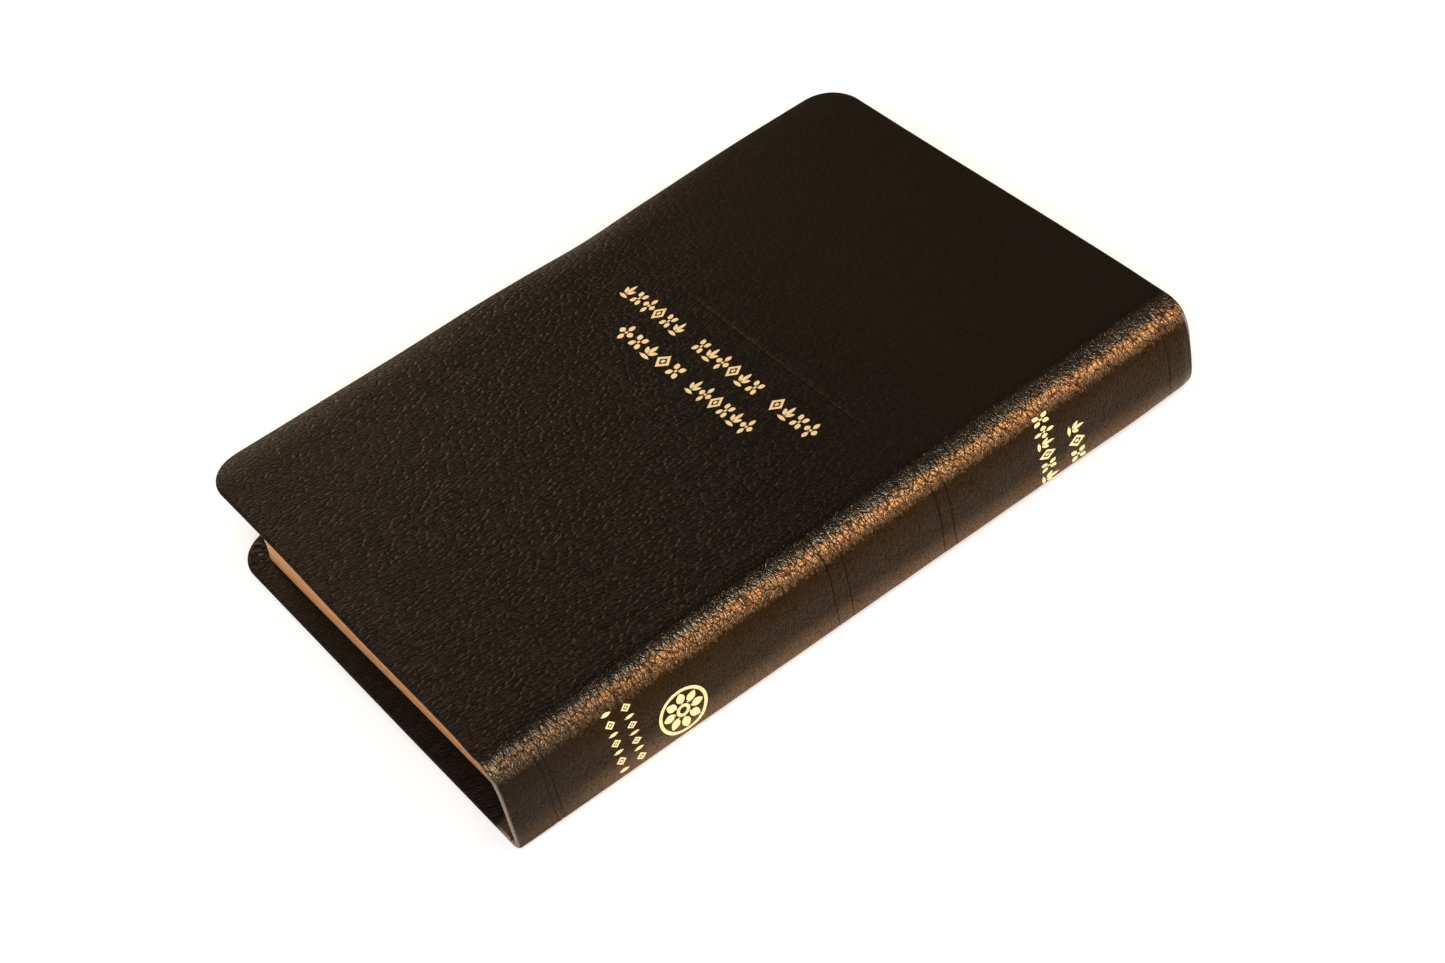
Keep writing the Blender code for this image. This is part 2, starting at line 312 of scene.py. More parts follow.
class Cover:
    """One cover's plan and its levels: depth is measured in from its outer face."""

    def __init__(self, side, seam):
        self.side = side
        self.seam = seam
        self.x_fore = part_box(f"{side}_cover_leather")[0].x
        self.columns = 54

    def warp(self, x, y):
        """How far the limp cover hangs or lifts from flat."""
        if self.side == "back":
            lift = 0.00035 * smooth(-0.055, self.x_fore, x) * (0.5 + 0.5 * ripple(x, y, 0.05, 3.1))
            return max(0.0, lift)
        fade = smooth(0.052, 0.030, x)
        over_pages = 0.00010 * ripple(x, y, 0.045, 7.7) + 0.00006 * ripple(x, y, 0.018, 1.3)
        hang = 0.00045 + 0.00015 * hump(y, -0.060, 0.030) - 0.0003 * hump(y, -0.021, 0.012)
        hang += 0.0008 * hump(y, 0.016, 0.013) - 0.0013 * smooth(0.025, 0.080, y)
        inset = x - self.x_fore
        edge = max(0.0, 1.0 - inset / DROOP_REACH) ** 2
        roll = 0.00035 * max(0.0, 1.0 - inset / 0.0038) ** 2
        return fade * over_pages - hang * edge - roll

    def point(self, x, y, depth):
        if self.side == "front":
            window = smooth(0.045, 0.036, x) * smooth(-0.034, -0.024, x)
            press = LINE_DEPTH * 0.8 * groove(y, COVER_LINES) * window if depth == 0 else 0.0
            z = THICKNESS - depth - press
        else:
            z = depth
        return (x, y + trim(x, y, z), z + self.warp(x, y))

    def pleat(self, inset, turn, depth):
        """Folds of the turned-in leather round a corner."""
        if turn >= math.pi / 2 or depth < LEATHER or inset < RIM:
            return 0.0
        share = turn / (math.pi / 2) * PLEATS
        saw = share - math.floor(share)
        shape = saw if saw < 0.8 else (1.0 - saw) / 0.2 * 0.8
        ends = smooth(0.0, 0.12, turn) * smooth(math.pi / 2, math.pi / 2 - 0.12, turn)
        return PLEAT_DEPTH * (0.4 - shape) * ends * smooth(0.6 * RIM, 2.6 * RIM, inset)

    def layer(self, inset, depth):
        """A grid of points, row by row from tail to head, fore edge to spine."""
        grid = []
        for y, pull, _ in plan_rows(inset):
            left = self.x_fore + inset + pull
            step = (self.seam - left) / self.columns
            grid.append([self.point(left + step * c, y, depth) for c in range(self.columns + 1)])
        return grid

    def ring(self, inset, depth):
        """The free edge of a layer: along the tail, up the fore edge and back along the head."""
        rows = plan_rows(inset)
        grid = self.layer(inset, depth)
        line = list(reversed(grid[0]))
        for (y, _, turn), row in zip(rows[1:-1], grid[1:-1]):
            line.append(self.point(row[0][0], y, depth + self.pleat(inset, turn, depth)))
        return line + grid[-1]


def edge_of(rows):
    """The free edge of an index grid, in the order of Cover.ring."""
    return list(reversed(rows[0])) + [row[0] for row in rows[1:-1]] + list(rows[-1])


def rim_arc(steps=8):
    """(inset, depth) round the folded edge, without its first point."""
    arc = []
    for i in range(1, steps + 1):
        angle = math.pi / 2 - math.pi * i / steps
        arc.append((RIM * (1 - math.cos(angle)), RIM * (1 - math.sin(angle))))
    return arc


def cover_leather(cover, look):
    """The outer leather, folded round the edge and turned in over the card."""
    shape = Shape()
    outer = [shape.line(row) for row in cover.layer(RIM, 0.0)]
    inner = [shape.line(row) for row in cover.layer(FOLD_RIM, LEATHER)]
    profile = rim_arc() + [
        (0.0016, 0.00168), (0.0026, 0.00190), (0.0040, 0.00206), (0.0056, 0.00214),
        (0.0068, 0.00218), (TURN_IN, 0.00214), (TURN_IN, 0.00188), (FOLD_RIM, 0.00184),
    ]
    rings = [edge_of(outer)]
    for inset, depth in profile:
        rings.append(shape.line(cover.ring(inset, depth)))
        shape.bridge(rings[-2], rings[-1])
    rings.append(edge_of(inner))
    shape.bridge(rings[-2], rings[-1])
    shape.skin(outer)
    shape.skin(inner)
    shape.bridge([row[-1] for row in outer], [row[-1] for row in inner])
    shape.face([ring[0] for ring in rings])
    shape.face([ring[-1] for ring in rings])
    return make_piece(f"{cover.side}_cover_skin", shape, [look])


def slab(name, low, high, looks, edge=0):
    """A flat piece between two grids of points; edge is the look of its free edge."""
    shape = Shape()
    first = [shape.line(row) for row in low]
    second = [shape.line(row) for row in high]
    shape.skin(first)
    shape.skin(second)
    shape.bridge(edge_of(first), edge_of(second), edge)
    shape.bridge([row[-1] for row in first], [row[-1] for row in second])
    return make_piece(name, shape, looks)


# ---- skins over the joints


def line_normals(points):
    """Outward normals of a line in the XZ plane that runs with the outside on its left."""
    normals = []
    for i in range(len(points)):
        x0, z0 = points[max(i - 1, 0)]
        x1, z1 = points[min(i + 1, len(points) - 1)]
        length = math.hypot(x1 - x0, z1 - z0)
        normals.append(((z0 - z1) / length, (x1 - x0) / length))
    return normals


def swept_skin(name, line, thickness, looks, shift, inner_look=0):
    """Leather with the given outer line, run from tail to head, its ends folded round."""
    normals = line_normals(line)
    rows = plan_rows(RIM)
    shape = Shape()

    def points(y, depth):
        made = []
        for i, ((x, z), (nx, nz)) in enumerate(zip(line, normals)):
            d = thickness(i, y) if depth is None else depth
            made.append(shift(x - nx * d, y, z - nz * d, nx, nz, d))
        return shape.line(made)

    outer = [points(y, 0.0) for y, _, _ in rows]
    inner = [points(y, None) for y, _, _ in rows]
    for end, sign in ((0, -1), (-1, 1)):
        chain = [outer[end]]
        for inset, depth in rim_arc()[:-1]:
            chain.append(points(sign * (Y_END - inset), depth))
        chain.append(inner[end])
        for first, second in zip(chain, chain[1:]):
            shape.bridge(first, second)
        shape.face([row[0] for row in chain])
        shape.face([row[-1] for row in chain])
    shape.skin(outer)
    for (y, _, _), first, second in zip(rows, inner, inner[1:]):
        shape.bridge(first, second, inner_look if abs(y) < Y_END - TURN_IN else 0)
    for column in (0, -1):
        shape.bridge([row[column] for row in outer], [row[column] for row in inner])
    return make_piece(name, shape, looks)


def spine_line():
    """From the front joint over the shoulder, down the spine and under to the back joint."""
    start = FRONT_AXIS_X + 0.0002
    flat = SPINE_X - SHOULDER_REACH
    points = [(start + (flat - start) * i / 3, THICKNESS) for i in range(3)]
    rise = THICKNESS - MIDDLE
    for i in range(35):
        angle = math.pi / 2 * i / 34
        across = 1.0 - math.sin(angle) ** (2.0 / SHOULDER_POWER)
        height = math.cos(angle) ** (2.0 / SHOULDER_POWER)
        points.append((SPINE_X - SHOULDER_REACH * across, MIDDLE + rise * height))
    points += [(SPINE_X, MIDDLE + (CORNER_TOP - MIDDLE) * i / 8) for i in range(1, 8)]
    for i in range(23):
        angle = math.pi / 2 * i / 22
        across = 1.0 - math.cos(angle)
        points.append((SPINE_X - CORNER_REACH * across, CORNER_TOP * (1 - math.sin(angle))))
    points.append((BACK_SEAM_SPINE, 0.0))
    return points


def spine_shift(x, y, z, nx, nz, depth):
    """The real spine leans, is a little uneven and carries the pressed lines."""
    away = smooth(SPINE_X - SHOULDER_REACH, SPINE_X - 0.003, x) * smooth(0.0005, 0.004, z)
    lean = SPINE_LEAN * y / Y_END
    uneven = 0.00022 * ripple(y, z, 0.016, 2.4) + 0.00012 * ripple(y, z, 0.007, 8.8)
    ends = smooth(Y_END - 0.004, Y_END, abs(y))
    out = away * (lean + uneven) - away * 0.0005 * ends
    belly = smooth(0.0, 0.0012, z) * smooth(0.0075, 0.0030, z)
    out += SPINE_BELLY * belly * smooth(Y_END, Y_END - 0.030, y)
    out += HEAD_BULGE * hump(z, 0.0115, 0.0105) * smooth(Y_END - 0.030, Y_END, y)
    press = LINE_DEPTH * groove(y, SPINE_LINES) if depth == 0 else 0.0
    return (x + out - nx * press, y + trim(x, y, z), z - nz * press)


def end_thickness(middle, y):
    """A skin's thickness at y: it is doubled where its ends are folded in."""
    return middle + (2 * RIM - middle) * smooth(Y_END - 0.0045, Y_END - 0.0025, abs(y))


def flat_shift(x, y, z, *_):
    return (x, y + trim(x, y, z), z)


def joint_strip(side, z, looks):
    """The flexible leather and lining between a cover and the spine."""
    # The outer line runs with the outside on its left, so the two strips run opposite ways
    x_from, x_to = BACK_SEAM_SPINE, BACK_SEAM
    if side == "front":
        x_from, x_to = FRONT_SEAM, FRONT_AXIS_X + 0.0002
    count = 14
    outside = [(x_from + (x_to - x_from) * i / count, z) for i in range(count + 1)]

    def thickness(i, y):
        cover_share = 1.0 - i / count if side == "front" else i / count
        near_cover = smooth(0.35, 1.0, cover_share)
        return end_thickness(LEATHER + (LINED - LEATHER) * near_cover, y)

    return swept_skin(f"{side}_joint", outside, thickness, looks, flat_shift, inner_look=1)


# ---- the text block


def page_columns(left, right):
    """Close together near the spine, where the pages bend."""
    bend = max(left, BLOCK_SPINE_X - 1.15 * FLEX_REACH)
    wide = [left + (bend - left) * i / 16 for i in range(16)]
    return wide + [bend + (right - bend) * i / 30 for i in range(31)]


def page_layer(z, x_end=SPINE_X):
    middle = [(BLOCK_Y - PAGE_CORNER) * (2 * i / 24 - 1) for i in range(1, 24)]
    spine = min(x_end, outer_x(z) - BLOCK_DEPTH)
    fore = outer_x(z) - BLOCK_DEPTH - PAGE_WIDTH
    grid = []
    for y, pull, _ in plan_rows(0.0, BLOCK_Y, PAGE_CORNER, middle):
        columns = page_columns(fore + pull, spine)
        grid.append([(x, y - BLOCK_SKEW * smooth(0.030, -0.050, x), z) for x in columns])
    return grid


def page_slab(name, low, high, page, edge, x_end=SPINE_X):
    """Sheets of paper as one flat piece with gilt edges."""
    return slab(name, page_layer(low, x_end), page_layer(high, x_end), [page, edge], 1)


def flex(piece):
    """Bakes a piece's placement into its mesh."""
    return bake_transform(piece)


def spine_loops(shape, near, far, low, high, y_end, lean=0.0):
    """Closed lines round a sheet that lies between two depths from the spine's outer face."""
    heights = [low + (high - low) * i / SHEET_STEPS for i in range(SHEET_STEPS + 1)]
    loops = []
    for i in range(31):
        y = y_end * (2 * i / 30 - 1)
        out = lean * SPINE_LEAN * y / Y_END
        loop = [(outer_x(z) - near + out, y, z) for z in heights]
        loop += [(outer_x(z) - far + out, y, z) for z in reversed(heights)]
        loops.append(shape.line(loop))
    for first, second in zip(loops, loops[1:]):
        shape.bridge(first, second, closed=True)
    return loops


def spine_sheet(name, depths, low, high, y_end, look, lean=0.0):
    shape = Shape()
    loops = spine_loops(shape, *depths, low, high, y_end, lean)
    side = SHEET_STEPS + 1
    for loop in (loops[0], loops[-1]):
        shape.bridge(loop[:side], list(reversed(loop[side:])))
    return make_piece(name, shape, [look])


def hollow_tube(look):
    """The flattened paper tube between the block and the spine's leather, open at its ends."""
    low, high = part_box("hollow_tube")[0].z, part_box("hollow_tube")[1].z
    near, far = HOLLOW
    shape = Shape()
    outside, inside = (
        spine_loops(shape, near + wall, far - wall, low + wall, high - wall, BLOCK_Y)
        for wall in (0.0, HOLLOW_WALL)
    )
    for end in (0, -1):
        shape.bridge(outside[end], inside[end], closed=True)
    return make_piece("paper_hollow", shape, [look])


def tube(shape, path, radius, sides=8, look=0):
    """A closed tube along a path of vectors; radius is a function of the share along it."""
    rings = []
    for i, point in enumerate(path):
        ahead = path[min(i + 1, len(path) - 1)] - path[max(i - 1, 0)]
        turn = ahead.normalized().to_track_quat("Z", "Y")
        r = radius(i / (len(path) - 1))
        ring = []
        for k in range(sides):
            angle = 2 * math.pi * k / sides
            ring.append(point + turn @ Vector((r * math.cos(angle), r * math.sin(angle), 0.0)))
        rings.append(shape.line(ring))
    for first, second in zip(rings, rings[1:]):
        shape.bridge(first, second, look, closed=True)
    shape.face(rings[0], look)
    shape.face(rings[-1], look)


def endband(name, sign, look):
    """A silk-wound roll along the spine edge of the block, ribbed where the thread crosses."""
    shape = Shape()
    low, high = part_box("head_band")[0].z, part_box("head_band")[1].z
    count = 150
    path = []
    for i in range(count + 1):
        z = low + (high - low) * i / count
        path.append(Vector((outer_x(z) - ENDBAND_DEPTH, sign * (BLOCK_Y + 0.00090), z)))

    def radius(share):
        ends = math.sqrt(max(0.02, 1 - max(0.0, abs(2 * share - 1) - 0.94) ** 2 / 0.0036))
        return (0.00064 + 0.00009 * abs(math.sin(math.pi * ENDBAND_RIBS * share))) * ends

    tube(shape, path, radius, sides=14)
    return make_piece(name, shape, [look], sharp_angle=80)


def sewing(name, low, high, look):
    """Linen thread: linked stitches at each station, and the run that joins them."""
    shape = Shape()
    stations = [BLOCK_Y * (2 * (i + 0.5) / STATIONS - 1) for i in range(STATIONS)]
    for y in stations:
        path = []
        for i in range(61):
            z = low + (high - low) * i / 60
            sway = 0.00022 * math.sin(2 * math.pi * SECTIONS * i / 60)
            path.append(Vector((outer_x(z) - THREAD_DEPTH, y + sway, z)))
        tube(shape, path, lambda share: 0.00019, sides=7)
    z = (low + high) / 2
    run = [Vector((outer_x(z) - 0.00352, stations[0] + (stations[-1] - stations[0]) * i / 40, z))
           for i in range(41)]
    tube(shape, run, lambda share: 0.00016, sides=7)
    return make_piece(name, shape, [look], sharp_angle=80)


# ---- foil


def lozenge():
    """A diamond outline with a dot, in a box from -1 to 1."""
    corners = ((1, 0), (0, 1), (-1, 0), (0, -1))
    outer, inner = [], []
    for k in range(4):
        (ax, ay), (bx, by) = corners[k], corners[(k + 1) % 4]
        for step in range(4):
            t = step / 4
            u, v = ax + (bx - ax) * t, ay + (by - ay) * t
            outer.append((u, v))
            inner.append((u * 0.56, v * 0.56))
    return [("ring", outer, inner)] + disc(0, 0, 0.24)


def circle(cx, cy, radius, points):
    turns = [2 * math.pi * k / points for k in range(points)]
    return [(cx + radius * math.cos(turn), cy + radius * math.sin(turn)) for turn in turns]


def disc(cx, cy, radius):
    return [("disc", circle(cx, cy, radius, 14))]


def circle_ring(cx, cy, radius, stroke):
    return [("ring", circle(cx, cy, radius, 56), circle(cx, cy, radius - stroke, 56))]


def petal(cx, cy, angle, start, length, width, steps=10):
    """A pointed leaf shape that grows from the centre in the given direction."""
    c, s = math.cos(angle), math.sin(angle)
    left, right = [], []
    for k in range(steps + 1):
        t = k / steps
        along = start + length * t
        half = width / 2 * math.sin(math.pi * t) ** 0.85
        left.append((cx + along * c - half * s, cy + along * s + half * c))
        right.append((cx + along * c + half * s, cy + along * s - half * c))
    return [("disc", right + left[-2:0:-1])]


def flower(tilt):
    made = disc(0, 0, 0.17)
    for k in range(4):
        made += petal(0, 0, tilt + k * math.pi / 2, 0.24, 0.92, 0.66)
    return made


def palmette():
    made = petal(-0.9, -0.82, 0.0, 0.0, 1.8, 0.40)
    for side in (-1, 1):
        made += petal(0, -0.55, math.pi / 2 - side * 0.85, 0.12, 1.15, 0.50)
    return made + petal(0, -0.50, math.pi / 2, 0.10, 1.40, 0.56)


def ornament(kind, cx, cy, width, height):
    """One ornament scaled from its box to its place in a row."""
    figures = {
        "l": lozenge, "f": lambda: flower(math.pi / 4), "c": lambda: flower(0.0),
        "p": palmette, "s": lambda: petal(0, -1, math.pi / 2, 0.0, 2.0, 0.8),
    }[kind]()
    return [
        (figure[0],) + tuple(
            [(cx + u * width / 2, cy + v * height / 2) for u, v in line] for line in figure[1:]
        )
        for figure in figures
    ]


def ornament_row(kinds, start, end, y, height):
    """Ornaments set side by side between two places along a row."""
    pitch = (end - start) / len(kinds)
    made = []
    for i, kind in enumerate(kinds):
        made += ornament(kind, start + pitch * (i + 0.5), y, pitch * 0.84, height)
    return made


def foil_piece(name, figures, place, look):
    """Thin foil plates pressed into the leather. place(u, v, lift) gives a point on it."""
    shape = Shape()
    top, bottom = 0.00003, -0.00008
    for figure in figures:
        if figure[0] == "ring":
            loops = []
            for line, lift in ((1, top), (1, bottom), (2, bottom), (2, top)):
                loops.append(shape.line(place(u, v, lift) for u, v in figure[line]))
            for k in range(4):
                shape.bridge(loops[k], loops[(k + 1) % 4], closed=True)
        else:
            high = shape.line(place(u, v, top) for u, v in figure[1])
            low = shape.line(place(u, v, bottom) for u, v in figure[1])
            shape.bridge(high, low, closed=True)
            half = len(high) // 2
            for loop in (high, low):
                for k in range(half - 1):
                    a, b = loop[k], loop[k + 1]
                    c, d = loop[-(k + 2) % len(loop)], loop[-(k + 1) % len(loop)]
                    shape.face((a, b, c, d) if k else (loop[0], b, loop[-1]))
                shape.face((loop[half - 1], loop[half], loop[half + 1]))
    return make_piece(name, shape, [look], sharp_angle=30)


class SpineFace:
    """Places points on the spine by the distance round it from the front joint."""

    def __init__(self):
        self.line = spine_line()
        self.normals = line_normals(self.line)
        self.lengths = [0.0]
        for (x0, z0), (x1, z1) in zip(self.line, self.line[1:]):
            self.lengths.append(self.lengths[-1] + math.hypot(x1 - x0, z1 - z0))

    def at_height(self, z):
        """The distance round at which the line passes the height z."""
        for i in range(len(self.line) - 1):
            z0, z1 = self.line[i][1], self.line[i + 1][1]
            if z0 > z >= z1:
                share = (z0 - z) / (z0 - z1)
                return self.lengths[i] + share * (self.lengths[i + 1] - self.lengths[i])
        return self.lengths[-1]

    def point(self, distance, y, lift):
        i = 0
        while i < len(self.line) - 2 and self.lengths[i + 1] < distance:
            i += 1
        t = (distance - self.lengths[i]) / (self.lengths[i + 1] - self.lengths[i])
        x, z, nx, nz = (
            a + (b - a) * t for a, b in
            zip(self.line[i] + self.normals[i], self.line[i + 1] + self.normals[i + 1])
        )
        return spine_shift(x + nx * lift, y, z + nz * lift, nx, nz, 1.0)


# ---- materials


class Nodes:
    """Short calls for building a node tree."""

    def __init__(self, name):
        self.material = bpy.data.materials.new(name)
        self.material.use_nodes = True
        self.tree = self.material.node_tree
        self.shader = self.tree.nodes["Principled BSDF"]
        # Where each point was made, so a pattern keeps its place on a piece that bends
        self.place = self.make("ShaderNodeAttribute", attribute_name="made_at").outputs["Vector"]

    def make(self, kind, inputs=None, **settings):
        """A node, with values or links put on its inputs by name or by place."""
        node = self.tree.nodes.new(kind)
        for key, value in settings.items():
            setattr(node, key, value)
        for key, value in (inputs or {}).items():
            self.link(value, node.inputs[key])
        return node

    def link(self, source, socket):
        if isinstance(source, (int, float, tuple)):
            socket.default_value = source
        else:
            self.tree.links.new(source, socket)

    def set(self, **values):
        """Puts values or links on the shader's sockets, such as Base_Color: the last call."""
        for key, value in values.items():
            self.link(value, self.shader.inputs[key.replace("_", " ")])
        return self.material

    def math(self, operation, *values):
        return self.make("ShaderNodeMath", dict(enumerate(values)), operation=operation).outputs[0]

    def times(self, a, b):
        return self.math("MULTIPLY", a, b)

    def plus(self, a, b):
        return self.math("ADD", a, b)

    def minus(self, a, b):
        return self.math("SUBTRACT", a, b)

    def scaled(self, value, factor, offset):
        return self.math("MULTIPLY_ADD", value, factor, offset)

    def size(self, value):
        return self.math("ABSOLUTE", value)

    def stretch(self, scale, vector=None):
        vector = self.place if vector is None else vector
        return self.make("ShaderNodeMapping", {"Vector": vector, "Scale": scale}).outputs[0]

    def noise(self, vector, scale, detail=3.0, roughness=0.5):
        inputs = {"Vector": vector, "Scale": scale, "Detail": detail, "Roughness": roughness}
        return self.make("ShaderNodeTexNoise", inputs).outputs["Fac"]

    def grain(self, scale, detail, roughness=0.5, source=None):
        """Noise with its own scale along each axis."""
        return self.noise(self.stretch(scale, source), 1.0, detail, roughness)

    def cells(self, vector, dimensions="3D"):
        """The distance from the borders of cells about one unit across."""
        inputs = {"Vector": vector, "Scale": 1.0}
        node = self.make("ShaderNodeTexVoronoi", inputs, feature="DISTANCE_TO_EDGE",
                         voronoi_dimensions=dimensions)
        return node.outputs["Distance"]

    def turn(self, vector, angle):
        """A vector turned about Z."""
        inputs = {"Vector": vector, "Angle": angle}
        return self.make("ShaderNodeVectorRotate", inputs, rotation_type="Z_AXIS").outputs[0]

    def distort(self, scale, amount):
        """The object's coordinates pushed about by a noise."""
        inputs = {"Vector": self.place, "Scale": scale, "Detail": 2.0}
        push = self.make("ShaderNodeTexNoise", inputs).outputs["Color"]
        kind = "ShaderNodeVectorMath"
        push = self.make(kind, {0: push, 1: (0.5, 0.5, 0.5)}, operation="SUBTRACT").outputs[0]
        inputs = {0: push, 1: (amount, amount, amount), 2: self.place}
        return self.make(kind, inputs, operation="MULTIPLY_ADD").outputs[0]

    def range(self, value, low, high, to_low=0.0, to_high=1.0, kind="SMOOTHSTEP"):
        inputs = {"Value": value, "From Min": low, "From Max": high,
                  "To Min": to_low, "To Max": to_high}
        return self.make("ShaderNodeMapRange", inputs, interpolation_type=kind).outputs["Result"]

    def mix(self, share, first, second):
        first, second = ((*c, 1.0) if isinstance(c, tuple) else c for c in (first, second))
        inputs = {"Factor": share, 6: first, 7: second}
        return self.make("ShaderNodeMix", inputs, data_type="RGBA").outputs[2]

    def axes(self):
        return self.make("ShaderNodeSeparateXYZ", {0: self.place}).outputs[:]

    def bump(self, height, distance, strength=1.0):
        inputs = {"Height": height, "Distance": distance, "Strength": strength}
        return self.make("ShaderNodeBump", inputs).outputs["Normal"]


def leather_look():
    """Black-brown goatskin: long pebbles on the covers, creases running round the spine."""
    n = Nodes("glazed_leather")
    x, y, z = n.axes()
    loose = n.distort(230.0, 0.0007)
    on_spine = n.range(x, 0.0575, 0.0625)
    on_top = n.minus(1.0, on_spine)

    # Relief of the covers: pebbles and long folds, deeper toward the tail
    across = n.turn(n.distort(120.0, 0.0004), math.radians(26.0))
    from_rim = n.cells(n.stretch((900.0, 400.0, 0.0), across), "2D")
    pebbles = n.range(from_rim, 0.0, 0.30)
    folds = n.grain((480.0, 55.0, 480.0), 2.0, 0.55, loose)
    folds = n.range(n.size(n.minus(folds, 0.5)), 0.0, 0.025)
    top = n.scaled(folds, 0.70, pebbles)
    top = n.times(top, n.range(y, 0.060, -0.050, 0.35, 1.0))

    # Relief of the spine: creases that run round it, and a finer net
    creases = n.cells(n.stretch((300.0, 860.0, 300.0), loose))
    creases = n.range(creases, 0.01, 0.13)
    net = n.cells(n.stretch((1000.0, 1350.0, 1000.0), loose))
    net = n.range(net, 0.0, 0.16)
    spine = n.scaled(creases, 0.70, n.times(net, 0.30))

    lumps = n.noise(n.place, 760.0, 2.0, 0.5)
    fine = n.noise(n.place, 4200.0, 2.0, 0.6)
    height = n.scaled(top, on_top, n.times(spine, on_spine))
    relief = n.scaled(on_spine, 1.2, 0.10)
    height = n.scaled(lumps, relief, height)
    height = n.scaled(fine, 0.04, height)
    normal = n.bump(height, GRAIN_DEPTH)

    # Where the spine's brown glaze is whole: not in cracks, nor in the tooled lines
    tooled = 0.0
    for line in SPINE_LINES:
        away = n.size(n.minus(y, line))
        tooled = n.math("MAXIMUM", tooled, n.range(away, 0.00030, 0.00012))
    whole = n.scaled(net, 0.50, 0.50)
    specks = n.grain((900.0, 1500.0, 900.0), 2.0, 0.7)
    shoulder = n.range(n.scaled(specks, 0.0052, z), 0.0256, 0.0276)
    shoulder = n.times(shoulder, n.range(x, 0.0610, 0.0640))
    crack = n.minus(1.0, creases)
    crack = n.times(crack, n.scaled(shoulder, 0.60, 0.20))
    whole = n.times(whole, n.minus(1.0, crack))
    whole = n.times(whole, n.scaled(tooled, -0.50, 1.0))

    # Tones: black covers, a brown spine painted pale near the table as a reflection of the floor,
    # worn edges
    stains = n.noise(n.place, 38.0, 4.0, 0.6)
    base = n.mix(stains, *GLAZED_BLACK)
    # Painted light: the covers' colour is lifted toward the head to stand in for light there
    base = n.mix(n.range(y, -0.005, 0.060), base, HEAD_LIGHT_PAINTED)
    spine_tone = n.mix(stains, *SPINE_BROWN)
    # Painted reflection of the floor: the spine's face turns pale brown toward the table
    floor_reflection_tone = n.mix(stains, *FLOOR_REFLECTION_BROWN)
    spine_tone = n.mix(n.range(z, 0.0115, 0.0005), spine_tone, floor_reflection_tone)
    spine_tone = n.mix(whole, CRACK_TONE, spine_tone)
    face = n.times(on_spine, n.range(z, 0.0274, 0.0250))
    base = n.mix(face, base, spine_tone)
    tail_tone = n.times(on_spine, n.range(y, -0.070, -0.102, 0.0, 0.6))
    base = n.mix(tail_tone, base, TAIL_BLACK)
    # Painted highlight: light lines on the pebbles' rims stand in for glints, stronger toward the
    # tail and weaker low down
    patches = n.range(n.noise(n.place, 420.0, 1.0, 0.5), 0.42, 0.66)
    painted_glints = n.times(n.range(from_rim, 0.09, 0.02), n.times(on_top, patches))
    painted_glints = n.times(painted_glints, n.range(y, 0.050, -0.050, 0.03, 0.38))
    painted_glints = n.times(painted_glints, n.range(z, 0.0100, 0.0200, 0.15, 1.0))
    base = n.mix(painted_glints, base, GLINT_LINE_PAINT)
    end = n.range(n.size(y), Y_END - 0.0007, Y_END - 0.0001)
    pared = n.times(end, n.times(on_spine, n.range(z, 0.026, 0.023)))
    base = n.mix(pared, base, RAW_EDGE)

    facing = n.make("ShaderNodeTexCoord").outputs["Normal"]
    up = n.make("ShaderNodeSeparateXYZ", {0: facing}).outputs[2]
    edge = n.times(n.range(n.size(up), 0.80, 0.30), on_top)
    base = n.mix(n.times(edge, 0.7), base, FOLDED_EDGE)

    # The glaze is worn to copper along the spine's shoulder and dulled where it meets the table
    rubbed = n.times(n.range(z, 0.0060, 0.0022), n.range(x, 0.058, 0.066))
    level = n.scaled(on_spine, SPINE_GLAZE_LOSS, GLAZE)
    level = n.scaled(shoulder, n.range(y, -0.105, -0.035, 0.45, 0.94), level)
    level = n.times(level, n.scaled(rubbed, -0.60, 1.0))
    level = n.times(level, n.scaled(edge, -0.85, 1.0))
    level = n.times(level, n.range(x, -0.058, -0.067, 1.0, 1.8))
    broken = n.plus(on_top, n.times(on_spine, whole))
    roughness = n.scaled(shoulder, -0.06, n.range(fine, 0.2, 0.8, 0.24, 0.33))
    roughness = n.scaled(on_top, 0.13, roughness)
    copper = n.times(on_spine, n.range(z, 0.0277, 0.0269))
    copper = n.times(copper, n.range(y, -0.100, -0.060, 0.45, 1.0))
    return n.set(
        Base_Color=base,
        Roughness=n.scaled(n.plus(rubbed, edge), 0.36, roughness),
        Specular_IOR_Level=n.times(level, broken),
        Specular_Tint=n.mix(copper, SHEEN, COPPER_SHEEN),
        IOR=GLAZE_IOR,
        Normal=normal,
    )


def lining_look():
    """Black endpaper with a fine linen finish."""
    n = Nodes("black_lining")
    weave = n.times(
        n.grain((2600.0, 260.0, 500.0), 2.0),
        n.grain((260.0, 2600.0, 500.0), 2.0),
    )
    tone = n.noise(n.place, 45.0, 3.0)
    return n.set(
        Base_Color=n.mix(tone, (0.020, 0.017, 0.015), (0.034, 0.029, 0.025)),
        Roughness=n.range(tone, 0.2, 0.8, 0.58, 0.72),
        Normal=n.bump(weave, 0.00006, 0.8),
    )


def fibrous_look(name, grain, detail, tones, roughness, depth):
    """A plain material of short fibres: grain is (scale, detail roughness)."""
    n = Nodes(name)
    fibre = n.grain(grain[0], detail, grain[1])
    return n.set(
        Base_Color=n.mix(fibre, *tones),
        Roughness=roughness,
        Normal=n.bump(fibre, depth),
    )


